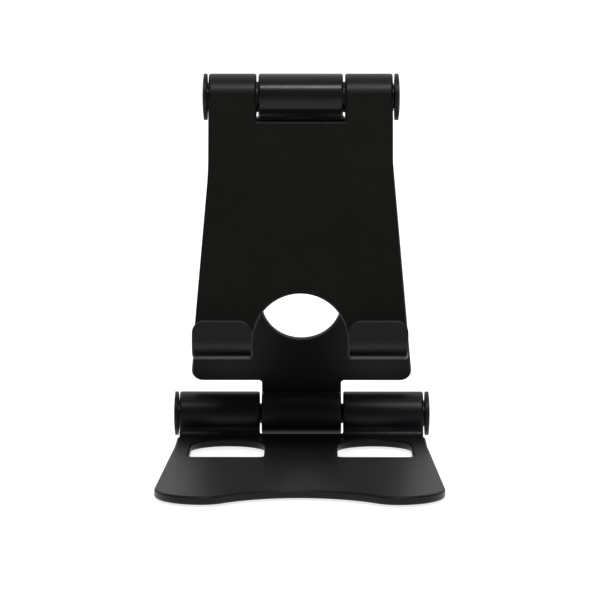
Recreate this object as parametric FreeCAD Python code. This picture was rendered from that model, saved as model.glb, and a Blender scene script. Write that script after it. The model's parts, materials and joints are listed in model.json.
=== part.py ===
# Folding two-hinge phone stand, bent from three pieces of aluminium sheet.
# Millimetres. +X to the right, +Y to the rear, +Z up; the user looks along +Y.
# The origin is on the floor, under the middle of the stand's box.
import FreeCAD
import Part

import math
import os

V = FreeCAD.Vector
X_AXIS = V(1, 0, 0)

# ---- sheet and rolled knuckles -------------------------------------------------------
sheet_t = 2.5                  # one gauge of sheet for all three plates
knuckle_r = 7.0                # outside radius of every rolled knuckle
roll_gap = 0.8                 # slit left between a roll's end and its own sheet
edge_chamfer = 0.4             # broken edge all round each plate

# ---- hinge stack ---------------------------------------------------------------------
barrel_r = 2.25                # outside of the post that the hinge turns on
screw_r = 1.5                  # shank of the slotted screw inside the post
screw_engagement = 16.0        # how far the shank reaches into the post
screw_tip_space = 2.0          # threaded hole goes on past the shank's tip
running_clearance = 0.04       # radial, between post and whatever turns on it
seat_clearance = 0.02          # radial, between a bush and its knuckle
thread_clearance = 0.03        # radial, between shank and post
friction_washer_t = 0.65       # between neighbouring knuckles
base_friction_washer_r = 3.2
top_friction_washer_r = 4.6
end_washer_t = 0.4             # under the plain head
end_washer_r = 4.2
disc_spring_h = 0.5            # room the disc spring takes under the slotted head
disc_spring_t = 0.32           # its stock
post_end_gap = 0.3             # from the post's end to the slotted head
plain_rim_t = 1.05
slotted_rim_t = 1.2
head_dome = 0.47               # crown of a head above its rim
head_relief = 0.1              # hollow of the underside, rim to middle
head_chamfer = 0.12            # round the edge of the underside
slot_width = 0.9
slot_depth = 0.8
slot_angle = 55.0              # degrees, from +Y towards +Z

# ---- base plate ----------------------------------------------------------------------
foot_t = 0.8                   # rubber foot below the plate
base_axis_rise = 6.3           # hinge axis above the plate's top face
reverse_bend_r = 2.2           # inside radius where the plate turns up to its knuckles
hole_side_gap = 2.775          # room on each side of a hook in the D-shaped hole it folds into
hole_front_gap = 3.1           # room ahead of the folded hook
hole_back = 12.2               # from the axis to the hole's round end
hole_corner_r = 2.0
base_side_web = 4.425          # metal between a hole and the line of the knuckle's end
base_side_step = 0.55          # the flat is this much wider than the knuckles on each side
base_flare = 2.85              # the lobes are this much wider than the knuckles
base_flare_start = 24.0        # ahead of the axis, where the sides begin to spread
lobe_reach = 112.3             # front of the lobes, ahead of the axis
lobe_outer_r = 13.9
lobe_inner_r = 9.0
front_hollow = 10.6            # front edge on the centre line, behind the lobes
notch_corner_r = 0.8           # in both plates that the arm's knuckles turn in
base_notch_gap = 1.1           # from the base's notch to the arm's knuckle

# ---- arm plate -----------------------------------------------------------------------
arm_length = 111.6             # axis to axis
arm_lean = 23.0                # degrees forward of upright, as set for use
centre_knuckle_half = 12.65    # half length of the arm's knuckles
arm_top_shoulder = 9.8         # from the top axis to the wide part of the arm
arm_bottom_shoulder = 9.35     # from the base axis
arm_top_half_w = 26.8
arm_bottom_half_w = 35.3
arm_corner_r = 3.6
arm_neck_r = 1.0               # inside corner between neck and shoulder
cable_hole_r = 12.3
cable_hole_drop = 75.03        # hole centre below the top axis

# ---- phone panel ---------------------------------------------------------------------
panel_lean = 11.5              # degrees back from upright, as set for use
panel_half_w = 27.5
panel_flare = 4.0              # added to each side from the knuckles to the hooks
panel_flare_start = 23.8       # below the axis, where the sides begin to spread
panel_flare_blend_r = 90.0
panel_flare_end_r = 40.0
hook_side_run = 3.0            # the sides run straight again this far above the bend
arch_r = 14.05                 # also half the gap between the hooks
arch_side_run = 1.2            # straight sides of the arch, above the bend
panel_notch_drop = 8.45        # notch that the arm's top knuckle turns in
hook_floor_drop = 77.0         # upper face of the hook's floor, below the axis
hook_depth = 12.0              # room for a phone, panel to lip
hook_bend_r = 2.0              # inside radius of both bends
lip_height = 8.0               # above the hook's floor
lip_corner_r = 3.6

# ---- rubber parts --------------------------------------------------------------------
pad_t = 0.9                    # silicone lining of the hooks
pad_edge_gap = 1.2             # pad edge inside the hook's edge
pad_lip_gap = 1.6              # pad top below the lip's top
front_foot_r = 6.5             # round feet under the lobes
front_foot_back = 14.5         # centre of a front foot behind the front of its lobe
side_foot_half_w = 1.3         # long feet beside the D-shaped holes
side_foot_edge = 0.75          # from the line of the knuckle's end to the foot
side_foot_start = 11.0         # ahead of the axis
side_foot_end = 46.0

# ---- worked out from the values above ------------------------------------------------
bore_r = knuckle_r - sheet_t
mid_r = knuckle_r - sheet_t / 2
head_r = knuckle_r             # heads are as wide as the knuckles
axis_z = foot_t + sheet_t + base_axis_rise
side_knuckle_inner = centre_knuckle_half + friction_washer_t
hook_half_w = panel_half_w + panel_flare
bend_start = hook_floor_drop - hook_bend_r
lip_top_drop = hook_floor_drop - lip_height
hole_x = (arch_r + hook_half_w) / 2
hole_r = (hook_half_w - arch_r) / 2 + hole_side_gap
hole_front = arm_length - lip_top_drop + hole_front_gap
base_half_w = hole_x + hole_r + base_side_web
flat_half_w = base_half_w + base_side_step
lobe_x = base_half_w + base_flare - lobe_outer_r
box_middle = (lobe_reach - knuckle_r) / 2
bend_rise = base_axis_rise - reverse_bend_r
bend_reach = math.sqrt((mid_r + reverse_bend_r + sheet_t / 2) ** 2 - bend_rise ** 2)
roll_end_deg = math.degrees(math.acos((bore_r - roll_gap) / knuckle_r))
base_axis = V(0, box_middle, axis_z)
lean = math.radians(arm_lean)
top_axis = base_axis + V(0, -arm_length * math.sin(lean), arm_length * math.cos(lean))


def at(centre, radius, deg):
    a = math.radians(deg)
    return V(centre[0] + radius * math.cos(a), centre[1] + radius * math.sin(a), 0)


def arc(centre, radius, start_deg, end_deg):
    """Arc edge, counter-clockwise when end_deg is the larger."""
    middle_deg = (start_deg + end_deg) / 2
    return Part.Arc(at(centre, radius, start_deg), at(centre, radius, middle_deg), at(centre, radius, end_deg))


def corner_arc(before, corner, after, radius):
    """Arc that rounds the corner between two straight lines."""
    back, on = (before - corner).normalize(), (after - corner).normalize()
    half = back.getAngle(on) / 2
    inward = (back + on).normalize()
    reach = radius / math.tan(half)
    middle = corner + inward * (radius / math.sin(half) - radius)
    return Part.Arc(corner + back * reach, middle, corner + on * reach)


def chain(*steps):
    """Closed face in the XY plane, joined by straight lines.

    A step is an arc, a point (x, y), or a corner (x, y, radius) to be rounded.
    """
    def entry(step):
        return V(step[0], step[1], 0) if isinstance(step, tuple) else step.StartPoint

    def leave(step):
        return V(step[0], step[1], 0) if isinstance(step, tuple) else step.EndPoint

    placed = []
    for i, step in enumerate(steps):
        if isinstance(step, tuple) and len(step) == 3:
            before, after = steps[i - 1], steps[(i + 1) % len(steps)]
            step = corner_arc(leave(before), entry(step), entry(after), step[2])
        placed.append(step)
    curves = []
    for i, step in enumerate(placed):
        if not isinstance(step, tuple):
            curves.append(step)
        start, end = leave(step), entry(placed[(i + 1) % len(placed)])
        if start.distanceToPoint(end) > 1e-6:
            curves.append(Part.LineSegment(start, end))
    return Part.Face(Part.Wire([curve.toShape() for curve in curves]))


def with_mirror_image(right):
    """The same outline steps followed by their mirror images, in reverse order."""
    return [*right, *((-step[0], *step[1:]) for step in reversed(right))]


def stood_up(sheet, front_y):
    """Flat sheet turned upright: its Y becomes Z and its front face lies at front_y."""
    upright = sheet.copy()
    upright.rotate(V(0, 0, 0), X_AXIS, 90)
    upright.translate(V(0, front_y + sheet_t, 0))
    return upright


def bent_strip(section, x0, x1):
    """Strip from x0 to x1 whose section is drawn as (y, z)."""
    strip = section.extrude(V(0, 0, x1 - x0))
    strip.rotate(V(0, 0, 0), V(1, 1, 1), 120)
    strip.translate(V(x0, 0, 0))
    return strip


def turned(profile, start_deg=0.0, sweep_deg=360.0):
    """Revolve a face drawn as (x, radius); angles run from +Y towards +Z."""
    solid = profile.revolve(V(0, 0, 0), X_AXIS, sweep_deg)
    solid.rotate(V(0, 0, 0), X_AXIS, start_deg)
    return solid


def tube(x0, x1, inner_r, outer_r, start_deg=0.0, sweep_deg=360.0):
    return turned(chain((x0, inner_r), (x1, inner_r), (x1, outer_r), (x0, outer_r)), start_deg, sweep_deg)


def mirrored(solid):
    return solid.mirror(V(0, 0, 0), X_AXIS)


def with_broken_edges(plate, axes):
    """Chamfer each edge between a face of the sheet and its cut wall.

    Edges through the thickness stay sharp, and so do the slits of the rolls,
    which lie along X within the rolls' radius of an axis at (y, z).
    """
    chosen = []
    for edge in plate.Edges:
        sides = plate.ancestorsOfType(edge, Part.Face)
        straight = isinstance(edge.Curve, Part.Line)
        if len(sides) != 2 or (straight and abs(edge.Length - sheet_t) < 0.01):
            continue
        halfway = (edge.FirstParameter + edge.LastParameter) / 2
        middle = edge.valueAt(halfway)
        normals = [side.normalAt(*side.Surface.parameter(middle)) for side in sides]
        near_axis = any(math.hypot(middle.y - y, middle.z - z) < knuckle_r + 0.01 for y, z in axes)
        slit = near_axis and abs(edge.tangentAt(halfway).x) > 0.999
        if abs(normals[0].dot(normals[1])) < 0.15 and not slit:
            chosen.append(edge)
    return plate.makeChamfer(edge_chamfer, chosen)


# ---- the three plates, each drawn about its own hinge axis ---------------------------
def base_flat():
    """Flat of the base in plan: hinge axis at y = 0, front at -y, top face at z = sheet_t."""
    lobe = (lobe_x, -(lobe_reach - lobe_outer_r))
    inner_lobe = (lobe_x, -(lobe_reach - lobe_inner_r))
    # the hollow front edge is the arc tangent to both inner lobe arcs
    rise = lobe_inner_r - front_hollow
    hollow_r = (lobe_x ** 2 + rise ** 2 - lobe_inner_r ** 2) / (2 * (lobe_inner_r - rise))
    hollow = (0, -(lobe_reach - front_hollow + hollow_r))
    hollow_deg = math.degrees(math.atan2(inner_lobe[1] - hollow[1], inner_lobe[0]))
    # the sides run straight to where they are tangent to the outer lobe arcs
    side_x, side_y = flat_half_w - lobe[0], -base_flare_start - lobe[1]
    side_deg = math.degrees(math.atan2(side_y, side_x))
    side_deg -= math.degrees(math.acos(lobe_outer_r / math.hypot(side_x, side_y)))
    step_y = -bend_reach - base_side_step
    return chain(
        (base_half_w, -bend_reach),
        (base_half_w, step_y),
        (flat_half_w, step_y),
        (flat_half_w, -base_flare_start),
        arc(lobe, lobe_outer_r, side_deg, -90),
        arc(inner_lobe, lobe_inner_r, -90, hollow_deg - 180),
        arc(hollow, hollow_r, hollow_deg, 180 - hollow_deg),
        arc((-inner_lobe[0], inner_lobe[1]), lobe_inner_r, -hollow_deg, -90),
        arc((-lobe[0], lobe[1]), lobe_outer_r, -90, -180 - side_deg),
        (-flat_half_w, -base_flare_start),
        (-flat_half_w, step_y),
        (-base_half_w, step_y),
        (-base_half_w, -bend_reach),
    )


def hook_hole():
    """D-shaped hole: half round to the rear, straight to the front, with rounded corners."""
    return chain(
        arc((hole_x, -hole_back - hole_r), hole_r, 0, 180),
        (hole_x - hole_r, -hole_front, hole_corner_r),
        (hole_x + hole_r, -hole_front, hole_corner_r),
    ).extrude(V(0, 0, sheet_t))


def base_plate():
    flat = base_flat().extrude(V(0, 0, sheet_t))
    flat = flat.cut(hook_hole()).cut(mirrored(hook_hole()))
    flat.translate(V(0, 0, -base_axis_rise - sheet_t))
    # the plate turns up on an arc that meets the roll where both have the same tangent
    bend = (-bend_reach, -bend_rise)
    meet_deg = math.degrees(math.atan2(bend_rise, bend_reach))
    outer_r = reverse_bend_r + sheet_t

    def turn_up(end_deg):
        return chain(arc(bend, outer_r, -90, end_deg), arc(bend, reverse_bend_r, end_deg, -90))

    between = mid_r + reverse_bend_r + sheet_t / 2
    clear_r = outer_r + roll_gap
    slit_cos = (between ** 2 + knuckle_r ** 2 - clear_r ** 2) / (2 * between * knuckle_r)
    roll_start = meet_deg - 180 + math.degrees(math.acos(slit_cos))
    # between the outer knuckles the bend stops short of the arm's knuckle
    notch_r = knuckle_r + base_notch_gap
    notch_cos = (between ** 2 + outer_r ** 2 - notch_r ** 2) / (2 * between * outer_r)
    notch_deg = meet_deg - math.degrees(math.acos(notch_cos))
    pieces = [flat, bent_strip(turn_up(notch_deg), -side_knuckle_inner, side_knuckle_inner)]
    for x0, x1 in ((side_knuckle_inner, base_half_w), (-base_half_w, -side_knuckle_inner)):
        pieces.append(bent_strip(turn_up(meet_deg), x0, x1))
        pieces.append(tube(x0, x1, bore_r, knuckle_r, roll_start, 180 + meet_deg - roll_start))
    plate = pieces[0].fuse(pieces[1:]).removeSplitter()
    notch_at = at(bend, outer_r, notch_deg)
    corners = [
        edge for edge in plate.Edges
        if abs(edge.Length - sheet_t) < 0.001 and abs(abs(edge.CenterOfMass.x) - side_knuckle_inner) < 0.001
        and min(math.hypot(v.Y - notch_at.x, v.Z - notch_at.y) for v in edge.Vertexes) < 0.001
    ]
    plate = plate.makeFillet(notch_corner_r, corners)
    return with_broken_edges(plate, [(0, 0)])


def arm_plate():
    neck = centre_knuckle_half
    low, high = arm_bottom_shoulder, arm_length - arm_top_shoulder
    right = [
        (neck, 0),
        (neck, low, arm_neck_r),
        (arm_bottom_half_w, low, arm_corner_r),
        (arm_top_half_w, high, arm_corner_r),
        (neck, high, arm_neck_r),
        (neck, arm_length),
    ]
    sheet = chain(*with_mirror_image(right)).extrude(V(0, 0, sheet_t))
    sheet = sheet.cut(Part.makeCylinder(cable_hole_r, sheet_t, V(0, arm_length - cable_hole_drop, 0)))
    sweep = 360 - roll_end_deg
    lower_roll = tube(-neck, neck, bore_r, knuckle_r, roll_end_deg, sweep)
    upper_roll = tube(-neck, neck, bore_r, knuckle_r, 0, sweep)
    upper_roll.translate(V(0, 0, arm_length))
    plate = stood_up(sheet, bore_r).fuse([lower_roll, upper_roll]).removeSplitter()
    return with_broken_edges(plate, [(0, 0), (0, arm_length)])


def hook_section():
    """Section of a hook as (y, z): down the panel, forward along the floor, up the lip."""
    inner, outer = hook_bend_r, hook_bend_r + sheet_t
    bend_z = -hook_floor_drop + inner
    near = (-knuckle_r - inner, bend_z)
    lip_y = -knuckle_r - hook_depth
    far = (lip_y + inner, bend_z)
    return chain(
        arc(near, outer, 0, -90),
        arc(far, outer, -90, -180),
        (lip_y - sheet_t, -lip_top_drop),
        (lip_y, -lip_top_drop),
        arc(far, inner, 180, 270),
        arc(near, inner, -90, 0),
    )


def with_lip_corners(hook):
    edges = [
        edge for edge in hook.Edges
        if abs(edge.tangentAt(edge.FirstParameter).y) > 0.999
        and abs(edge.CenterOfMass.z + lip_top_drop) < 0.01
    ]
    return hook.makeFillet(lip_corner_r, edges)


def phone_panel():
    left = [
        (-arch_r, -bend_start),
        (-hook_half_w, -bend_start),
        (-hook_half_w, -bend_start + hook_side_run, panel_flare_end_r),
        (-panel_half_w, -panel_flare_start, panel_flare_blend_r),
        (-panel_half_w, 0),
        (-side_knuckle_inner, 0),
        (-side_knuckle_inner, -panel_notch_drop, notch_corner_r),
    ]
    outline = [*with_mirror_image(left), arc((0, arch_side_run - bend_start), arch_r, 0, 180)]
    sheet = chain(*outline).extrude(V(0, 0, sheet_t))
    hook = with_lip_corners(bent_strip(hook_section(), arch_r, hook_half_w))
    knuckle = tube(side_knuckle_inner, panel_half_w, bore_r, knuckle_r, roll_end_deg - 180, 360 - roll_end_deg)
    rest = [hook, mirrored(hook), knuckle, mirrored(knuckle)]
    plate = stood_up(sheet, -knuckle_r).fuse(rest).removeSplitter()
    return with_broken_edges(plate, [(0, 0)])


# ---- hinge hardware, drawn about its axis with the slotted head to the right ----------
def head_face(seat_x, rim_t, *stem):
    """Section of a domed head as (x, radius), with the corners of its stem."""
    rim_x = seat_x + head_relief + rim_t
    dome_r = (head_r ** 2 + head_dome ** 2) / (2 * head_dome)
    edge_deg = math.degrees(math.asin(head_r / dome_r))
    return chain(
        *stem,
        (seat_x, end_washer_r),
        (seat_x + head_relief, head_r - head_chamfer),
        (seat_x + head_relief + head_chamfer, head_r),
        (rim_x, head_r),
        arc((rim_x + head_dome - dome_r, 0), dome_r, edge_deg, 0),
    )


def hinge_post(outer_half):
    seat_x = outer_half + end_washer_t
    end_x = post_end_gap - outer_half - disc_spring_h
    hole_x = end_x + screw_engagement + screw_tip_space - post_end_gap
    hole_r = screw_r + thread_clearance
    stem = [(hole_x, 0), (hole_x, hole_r), (end_x, hole_r), (end_x, barrel_r), (seat_x, barrel_r)]
    return mirrored(turned(head_face(seat_x, plain_rim_t, *stem)))


def hinge_screw(outer_half):
    seat_x = outer_half + disc_spring_h
    tip_x = seat_x - screw_engagement
    screw = turned(head_face(seat_x, slotted_rim_t, (tip_x, 0), (tip_x, screw_r), (seat_x, screw_r)))
    top_x = seat_x + head_relief + slotted_rim_t + head_dome
    slot = Part.makeBox(slot_depth, 2 * head_r, slot_width, V(top_x - slot_depth, -head_r, -slot_width / 2))
    slot.rotate(V(0, 0, 0), X_AXIS, slot_angle)
    return screw.cut(slot)


def disc_spring(outer_half):
    seat_x = outer_half + disc_spring_h
    inner_r = barrel_r + running_clearance
    return turned(chain(
        (seat_x - disc_spring_t, inner_r),
        (seat_x, inner_r),
        (outer_half + disc_spring_t, end_washer_r),
        (outer_half, end_washer_r),
    ))


def hinge_stack(outer_half, friction_washer_r):
    """Everything on the post that turns with the outer knuckles, by name."""
    inner_r = barrel_r + running_clearance
    bush = tube(side_knuckle_inner, outer_half, inner_r, bore_r - seat_clearance)
    washer = tube(centre_knuckle_half, side_knuckle_inner, inner_r, friction_washer_r)
    return {
        "post": hinge_post(outer_half),
        "screw": hinge_screw(outer_half),
        "end_washer": tube(-outer_half - end_washer_t, -outer_half, inner_r, end_washer_r),
        "disc_spring": disc_spring(outer_half),
        "bush_left": mirrored(bush),
        "bush_right": bush,
        "friction_washer_left": mirrored(washer),
        "friction_washer_right": washer,
    }


def centre_bush():
    half = centre_knuckle_half
    return tube(-half, half, barrel_r + running_clearance, bore_r - seat_clearance)


# ---- rubber parts --------------------------------------------------------------------
def front_foot():
    place = V(lobe_x, front_foot_back - lobe_reach, -base_axis_rise - sheet_t - foot_t)
    return Part.makeCylinder(front_foot_r, foot_t, place)


def side_foot():
    x = base_half_w - side_foot_edge - side_foot_half_w
    face = chain(
        arc((x, -side_foot_start - side_foot_half_w), side_foot_half_w, 0, 180),
        arc((x, -side_foot_end + side_foot_half_w), side_foot_half_w, 180, 360),
    )
    foot = face.extrude(V(0, 0, foot_t))
    foot.translate(V(0, 0, -base_axis_rise - sheet_t - foot_t))
    return foot


def hook_pad():
    """Lining of a hook: over its floor, round the far bend and up inside the lip."""
    bend_z = -hook_floor_drop + hook_bend_r
    lip_y = -knuckle_r - hook_depth
    far = (lip_y + hook_bend_r, bend_z)
    near_y = -knuckle_r - hook_bend_r
    top_z = -lip_top_drop - pad_lip_gap
    section = chain(
        (near_y, -hook_floor_drop),
        arc(far, hook_bend_r, -90, -180),
        (lip_y, top_z),
        (lip_y + pad_t, top_z),
        arc(far, hook_bend_r - pad_t, -180, -90),
        (near_y, -hook_floor_drop + pad_t),
    )
    return bent_strip(section, arch_r + pad_edge_gap, hook_half_w - pad_edge_gap)


# ---- assembly ------------------------------------------------------------------------
def placed(solid, axis, lean_deg=0.0):
    """Lean a piece about its own hinge axis, then carry it to the axis's place."""
    piece = solid.copy()
    piece.rotate(V(0, 0, 0), X_AXIS, lean_deg)
    piece.translate(axis)
    return piece


def build():
    nodes = {
        "base_plate": placed(base_plate(), base_axis),
        "foot_front_right": placed(front_foot(), base_axis),
        "foot_front_left": placed(mirrored(front_foot()), base_axis),
        "foot_side_right": placed(side_foot(), base_axis),
        "foot_side_left": placed(mirrored(side_foot()), base_axis),
        "arm_plate": placed(arm_plate(), base_axis, arm_lean),
        "base_hinge_bush_middle": placed(centre_bush(), base_axis, arm_lean),
        "top_hinge_bush_middle": placed(centre_bush(), top_axis, arm_lean),
        "phone_panel": placed(phone_panel(), top_axis, -panel_lean),
        "hook_pad_right": placed(hook_pad(), top_axis, -panel_lean),
        "hook_pad_left": placed(mirrored(hook_pad()), top_axis, -panel_lean),
    }
    for name, piece in hinge_stack(base_half_w, base_friction_washer_r).items():
        nodes["base_hinge_" + name] = placed(piece, base_axis)
    for name, piece in hinge_stack(panel_half_w, top_friction_washer_r).items():
        nodes["top_hinge_" + name] = placed(piece, top_axis, -panel_lean)
    return nodes


os.makedirs("parts", exist_ok=True)
for node_name, solid in build().items():
    solid.exportStep(f"parts/{node_name}.step")
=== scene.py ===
import json
import math

import bpy
from mathutils import Matrix, Vector


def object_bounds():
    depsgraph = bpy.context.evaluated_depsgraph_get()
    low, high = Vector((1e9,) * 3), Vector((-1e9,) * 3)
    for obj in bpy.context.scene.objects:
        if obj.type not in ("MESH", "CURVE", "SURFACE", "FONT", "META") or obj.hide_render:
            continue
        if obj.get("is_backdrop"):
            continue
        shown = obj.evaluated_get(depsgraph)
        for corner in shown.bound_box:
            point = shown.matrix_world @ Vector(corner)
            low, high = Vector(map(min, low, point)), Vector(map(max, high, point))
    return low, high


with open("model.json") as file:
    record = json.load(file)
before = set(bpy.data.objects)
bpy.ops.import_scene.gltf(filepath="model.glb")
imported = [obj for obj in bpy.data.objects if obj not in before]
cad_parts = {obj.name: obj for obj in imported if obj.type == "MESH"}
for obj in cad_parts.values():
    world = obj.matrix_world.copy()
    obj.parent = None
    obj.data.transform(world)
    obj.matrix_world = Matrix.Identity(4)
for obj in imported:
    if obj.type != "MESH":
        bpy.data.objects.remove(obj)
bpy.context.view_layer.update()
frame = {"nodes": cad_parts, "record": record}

# ---- camera --------------------------------------------------------------------------
VIEW_ELEVATION = math.radians(6.51)
VIEW_YAW = math.radians(-0.32)
VIEW_TARGET = Vector((-0.00039, 0.03765, 0.04771))
VIEW_DISTANCE = 0.8911
LENS_MM = 171.0
SENSOR_MM = 36.0
CLIP_START = 0.01

# ---- light ---------------------------------------------------------------------------
WHITE = (1.0, 1.0, 1.0, 1.0)
AMBIENT = 0.65                 # even light from all round
BACKDROP_WHITE = 1.0
ROOM_FRONT = 0.06              # the dim room in front of the stand, in reflections
BACKDROP_DIRECTION = (0.0, 0.6, 0.8)    # towards the middle of the lit backdrop
BACKDROP_EDGE = 0.45           # cosine from that direction where the backdrop has faded
KEY_AZIMUTH = 9.0              # degrees, 0 is in front of the stand and 90 to its right
KEY_ELEVATION = 55.0
KEY_DISTANCE = 1.2
KEY_WIDTH = 0.38
KEY_HEIGHT = 0.17
KEY_POWER = 6.0

# ---- floor ---------------------------------------------------------------------------
FLOOR_COLOUR = (0.6, 0.6, 0.6, 1.0)
FLOOR_ROUGHNESS = 0.9
FLOOR_GLOW = 0.8
FLOOR_SIZE = 12.0
SWEEP_FADE = -0.10             # in reflections the white floor starts to fade here
SWEEP_END = -0.40              # and has faded here, in front of the stand

# ---- finishes ------------------------------------------------------------------------
NOISE_MIDDLE = (0.3, 0.7)      # nearly all of a noise's values lie in here
PLATE_ROUGHNESS = (0.36, 0.42)
PLATE_SPECULAR = 0.2
PLATE_EDGE_ROUND = 0.0005      # radius to which the chamfers look tumbled
BEVEL_SAMPLES = 8
BLACK_STEEL_ROUGHNESS = (0.40, 0.48)
BLACK_STEEL_SPECULAR = 0.2
SPRING_ROUGHNESS = (0.3, 0.45)
SOFT_SPECULAR = 0.3
SOFT_MOTTLE = 1.6              # lightest part of a soft piece over its darkest
ARM_TOP_POLISH = 0.63          # roughness there over the rest of the arm's


# ---- material helpers ----------------------------------------------------------------
class Nodes:
    """Short way to add and link the nodes of one material."""

    def __init__(self, name):
        self.material = bpy.data.materials.new(name)
        self.material.use_nodes = True
        self.tree = self.material.node_tree
        self.shader = self.tree.nodes["Principled BSDF"]

    def add(self, kind, **settings):
        node = self.tree.nodes.new(kind)
        for key, value in settings.items():
            setattr(node, key, value)
        return node

    def link(self, source, target):
        self.tree.links.new(source, target)

    def math(self, operation, first, second):
        """Two values combined; the second is an output or a number."""
        node = self.add("ShaderNodeMath", operation=operation)
        self.link(first, node.inputs[0])
        if isinstance(second, float):
            node.inputs[1].default_value = second
        else:
            self.link(second, node.inputs[1])
        return node.outputs[0]

    def spread(self, value, from_range, to_range):
        """Map a value from one range to another, held at the ends."""
        node = self.add("ShaderNodeMapRange")
        node.inputs["From Min"].default_value, node.inputs["From Max"].default_value = from_range
        node.inputs["To Min"].default_value, node.inputs["To Max"].default_value = to_range
        self.link(value, node.inputs["Value"])
        return node.outputs["Result"]

    def position(self):
        found = self.tree.nodes.get("Place")
        if found is None:
            found = self.add("ShaderNodeTexCoord", name="Place")
        return found.outputs["Object"]

    def noise(self, scale, detail, roughness=0.5):
        """Noise fixed to the piece, with scale in waves to the metre."""
        texture = self.add("ShaderNodeTexNoise")
        texture.inputs["Scale"].default_value = scale
        texture.inputs["Detail"].default_value = detail
        texture.inputs["Roughness"].default_value = roughness
        self.link(self.position(), texture.inputs["Vector"])
        return texture.outputs["Fac"]

    def mottle(self, scale, detail, low=0.0, high=1.0):
        """Noise whose middle part is spread over low..high."""
        return self.spread(self.noise(scale, detail), NOISE_MIDDLE, (low, high))

    def along(self, place, low, high):
        """low up to the place's start and high from its end on, along its direction."""
        direction, start, end = place
        reach = self.add("ShaderNodeVectorMath", operation="DOT_PRODUCT")
        reach.inputs[1].default_value = direction
        self.link(self.position(), reach.inputs[0])
        return self.spread(reach.outputs["Value"], (start, end), (low, high))

    def mixed(self, factor, first, second):
        """Colour from first to second; the first is an output or a colour."""
        mix = self.add("ShaderNodeMix", data_type="RGBA")
        if isinstance(first, tuple):
            mix.inputs["A"].default_value = (*first, 1.0)
        else:
            self.link(first, mix.inputs["A"])
        mix.inputs["B"].default_value = (*second, 1.0)
        self.link(factor, mix.inputs["Factor"])
        return mix.outputs["Result"]

    def finish(self, colour, roughness, specular):
        self.link(colour, self.shader.inputs["Base Color"])
        self.link(roughness, self.shader.inputs["Roughness"])
        self.shader.inputs["Specular IOR Level"].default_value = specular

    def bump(self, height, distance, strength, edge_round=None):
        """Fine relief; edge_round is the radius to which sharp edges look tumbled."""
        node = self.add("ShaderNodeBump")
        node.inputs["Distance"].default_value = distance
        node.inputs["Strength"].default_value = strength
        self.link(height, node.inputs["Height"])
        if edge_round:
            rounded = self.add("ShaderNodeBevel")
            rounded.samples = BEVEL_SAMPLES
            rounded.inputs["Radius"].default_value = edge_round
            self.link(rounded.outputs["Normal"], node.inputs["Normal"])
        self.link(node.outputs["Normal"], self.shader.inputs["Normal"])


def anodised_black(name, darker, lighter, burnished=None, painted_reflection=None):
    """Bead-blasted aluminium, anodised black: a fine even grain and a satin sheen.

    burnished is a place and the factor of its roughness; the last argument is a place and the
    colour of a painted reflection laid there.
    A place is a direction of the piece at rest, and where along it the change starts
    and ends.
    """
    m = Nodes(name)
    colour = m.mixed(m.mottle(scale=60.0, detail=3.0), darker, lighter)
    # painted reflection: the colour is made paler over the given place
    if painted_reflection:
        place, reflection_colour = painted_reflection
        colour = m.mixed(m.along(place, 0.0, 1.0), colour, reflection_colour)
    roughness = m.mottle(900.0, 2.0, *PLATE_ROUGHNESS)
    if burnished:
        place, factor = burnished
        roughness = m.math("MULTIPLY", roughness, m.along(place, 1.0, factor))
    m.finish(colour, roughness, PLATE_SPECULAR)
    grain = m.noise(scale=2600.0, detail=2.0, roughness=0.6)
    m.bump(grain, distance=0.00004, strength=0.06, edge_round=PLATE_EDGE_ROUND)
    return m.material


def dull_black_steel(name, darker, lighter):
    """Black-oxide steel with a dull surface."""
    m = Nodes(name)
    colour = m.mixed(m.mottle(scale=120.0, detail=2.0), darker, lighter)
    m.finish(colour, m.mottle(700.0, 2.0, *BLACK_STEEL_ROUGHNESS), BLACK_STEEL_SPECULAR)
    m.bump(m.noise(scale=1800.0, detail=1.0), distance=0.00002, strength=0.25)
    return m.material


def spring_steel(name, darker, lighter):
    m = Nodes(name)
    colour = m.mixed(m.mottle(scale=200.0, detail=2.0), darker, lighter)
    m.link(colour, m.shader.inputs["Base Color"])
    m.link(m.mottle(900.0, 2.0, *SPRING_ROUGHNESS), m.shader.inputs["Roughness"])
    m.shader.inputs["Metallic"].default_value = 1.0
    return m.material


def soft_black(name, colour, rough_low, rough_high, grain_scale):
    """Rubber, silicone or acetal with a fine matte grain."""
    m = Nodes(name)
    lighter = tuple(SOFT_MOTTLE * c for c in colour)
    mottled = m.mixed(m.mottle(scale=90.0, detail=3.0), colour, lighter)
    m.finish(mottled, m.mottle(500.0, 2.0, rough_low, rough_high), SOFT_SPECULAR)
    m.bump(m.noise(grain_scale, detail=3.0), distance=0.00005, strength=0.4)
    return m.material


# ---- give every CAD node its finish --------------------------------------------------
finishes = {
    "black_steel": dull_black_steel(
        "black_oxide_steel", (0.004, 0.004, 0.004), (0.008, 0.008, 0.008)),
    "spring_steel": spring_steel(
        "oiled_spring_steel", (0.03, 0.03, 0.032), (0.07, 0.07, 0.072)),
    "black_acetal": soft_black("black_acetal", (0.012, 0.012, 0.012), 0.35, 0.5, 1200.0),
    "foot_rubber": soft_black("foot_rubber", (0.018, 0.018, 0.019), 0.7, 0.85, 900.0),
    "hook_silicone": soft_black("hook_silicone", (0.014, 0.014, 0.015), 0.55, 0.7, 1100.0),
}
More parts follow.
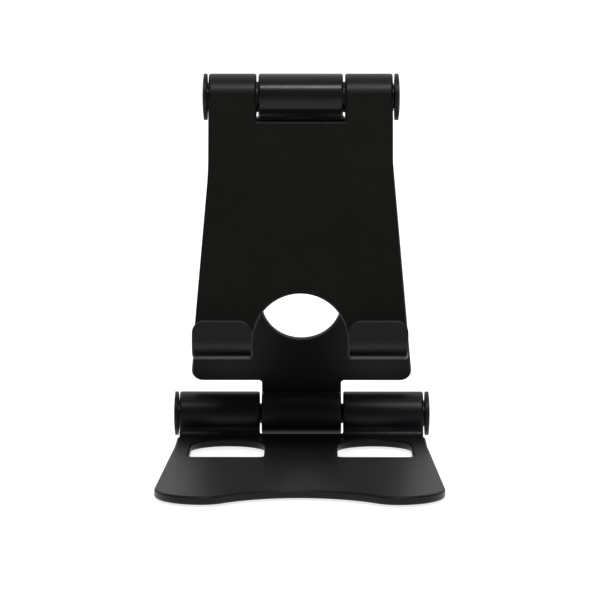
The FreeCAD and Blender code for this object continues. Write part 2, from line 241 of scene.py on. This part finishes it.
# The base is a little cooler than the panel. The arm is painted paler to stand in for light, and
# the panel's two lips are painted paler as a reflection.
# The arm's top knuckle is shinier than the rest.
arm_top = ((0.0, 0.0, 1.0), 0.103, 0.106)
# where the painted reflection on the panel's lips lies
lips_reflection_place = ((0.0, -0.980, 0.199), 0.0338, 0.0348)
finishes_of_plates = {
    "base_plate": anodised_black(
        "anodised_black_base", (0.0044, 0.0038, 0.0056), (0.0060, 0.0053, 0.0075)),
    # painted light: the arm's colour is paler than the other plates' to stand in for light on
    # its down-facing front
    "arm_plate": anodised_black(
        "anodised_black_arm", (0.0074, 0.0066, 0.0068), (0.0102, 0.0091, 0.0094),
        burnished=(arm_top, ARM_TOP_POLISH)),
    "phone_panel": anodised_black(
        "anodised_black_panel", (0.0041, 0.0036, 0.0027), (0.0059, 0.0053, 0.0044),
        # painted reflection on the panel's two lips
        painted_reflection=(lips_reflection_place, (0.0130, 0.0118, 0.0125))),
}
for row in frame["record"]["subparts"]:
    node = frame["nodes"][row["node"]]
    node.data.materials.clear()
    finish = finishes_of_plates.get(row["node"]) or finishes[row["material_slot"]]
    node.data.materials.append(finish)


# ---- floor, world and lamp -----------------------------------------------------------
def make_floor():
    """Pale floor, white to the camera; in reflections it fades out in front of the stand."""
    bpy.ops.mesh.primitive_plane_add(size=FLOOR_SIZE, location=(0.0, 0.0, 0.0))
    floor = bpy.context.object
    floor.name = "studio_floor"
    m = Nodes("pale_floor")
    m.shader.inputs["Base Color"].default_value = FLOOR_COLOUR
    m.shader.inputs["Roughness"].default_value = FLOOR_ROUGHNESS
    m.shader.inputs["Specular IOR Level"].default_value = 0.0
    m.shader.inputs["Emission Color"].default_value = WHITE
    sweep = m.along(((0.0, 1.0, 0.0), SWEEP_END, SWEEP_FADE), ROOM_FRONT, BACKDROP_WHITE)
    path = m.add("ShaderNodeLightPath").outputs
    reflected = m.math("MULTIPLY", path["Is Glossy Ray"], sweep)
    straight = m.math("MAXIMUM", path["Is Camera Ray"], path["Is Transmission Ray"])
    seen = m.math("MAXIMUM", straight, reflected)
    glow = m.math("MULTIPLY", seen, FLOOR_GLOW)
    m.link(glow, m.shader.inputs["Emission Strength"])
    floor.data.materials.append(m.material)
    floor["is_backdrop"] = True


def make_world():
    """White to the camera and behind and above the stand in reflections, dim in front of it."""
    world = bpy.data.worlds.new("studio")
    bpy.context.scene.world = world
    world.use_nodes = True
    nodes, links = world.node_tree.nodes, world.node_tree.links
    nodes.clear()

    def background(strength):
        node = nodes.new("ShaderNodeBackground")
        node.inputs["Color"].default_value = WHITE
        node.inputs["Strength"].default_value = strength
        return node

    def either(factor, first, second):
        """First shader where the factor is 0, second where it is 1."""
        mix = nodes.new("ShaderNodeMixShader")
        links.new(factor, mix.inputs[0])
        links.new(first, mix.inputs[1])
        links.new(second, mix.inputs[2])
        return mix.outputs[0]

    direction = nodes.new("ShaderNodeTexCoord")
    towards_back = nodes.new("ShaderNodeVectorMath")
    towards_back.operation = "DOT_PRODUCT"
    towards_back.inputs[1].default_value = BACKDROP_DIRECTION
    links.new(direction.outputs["Generated"], towards_back.inputs[0])
    fade = nodes.new("ShaderNodeMapRange")
    fade.interpolation_type = "SMOOTHSTEP"
    fade.inputs["From Min"].default_value = BACKDROP_EDGE
    fade.inputs["From Max"].default_value = 1.0
    fade.inputs["To Min"].default_value = ROOM_FRONT
    fade.inputs["To Max"].default_value = BACKDROP_WHITE
    links.new(towards_back.outputs["Value"], fade.inputs["Value"])
    room = background(BACKDROP_WHITE)
    links.new(fade.outputs["Result"], room.inputs["Strength"])

    path = nodes.new("ShaderNodeLightPath").outputs
    straight = nodes.new("ShaderNodeMath")
    straight.operation = "MAXIMUM"
    links.new(path["Is Camera Ray"], straight.inputs[0])
    links.new(path["Is Transmission Ray"], straight.inputs[1])
    lit = either(path["Is Glossy Ray"], background(AMBIENT).outputs[0], room.outputs[0])
    seen = either(straight.outputs[0], lit, background(BACKDROP_WHITE).outputs[0])
    output = nodes.new("ShaderNodeOutputWorld")
    links.new(seen, output.inputs["Surface"])


def add_key_softbox():
    """Soft box high in front, which faces the middle of the stand."""
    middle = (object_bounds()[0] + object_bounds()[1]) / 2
    azimuth, elevation = math.radians(KEY_AZIMUTH), math.radians(KEY_ELEVATION)
    outward = Vector((
        math.sin(azimuth) * math.cos(elevation),
        -math.cos(azimuth) * math.cos(elevation),
        math.sin(elevation),
    ))
    data = bpy.data.lights.new("key_softbox", "AREA")
    data.shape = "RECTANGLE"
    data.size = KEY_WIDTH
    data.size_y = KEY_HEIGHT
    data.energy = KEY_POWER
    lamp = bpy.data.objects.new("key_softbox", data)
    lamp.location = middle + outward * KEY_DISTANCE
    lamp.rotation_euler = outward.to_track_quat("Z", "Y").to_euler()
    bpy.context.scene.collection.objects.link(lamp)


def make_camera():
    data = bpy.data.cameras.new("camera")
    data.lens = LENS_MM
    data.sensor_width = SENSOR_MM
    data.clip_start = CLIP_START
    forward = Vector((
        math.sin(VIEW_YAW) * math.cos(VIEW_ELEVATION),
        math.cos(VIEW_YAW) * math.cos(VIEW_ELEVATION),
        -math.sin(VIEW_ELEVATION),
    ))
    right = Vector((math.cos(VIEW_YAW), -math.sin(VIEW_YAW), 0.0))
    up = right.cross(forward)
    turn = Matrix((right, up, -forward)).transposed()
    camera = bpy.data.objects.new("camera", data)
    place = Matrix.Translation(VIEW_TARGET - forward * VIEW_DISTANCE)
    camera.matrix_world = place @ turn.to_4x4()
    bpy.context.scene.collection.objects.link(camera)
    bpy.context.scene.camera = camera


make_floor()
make_world()
add_key_softbox()
make_camera()
bpy.context.scene.view_settings.view_transform = "Standard"
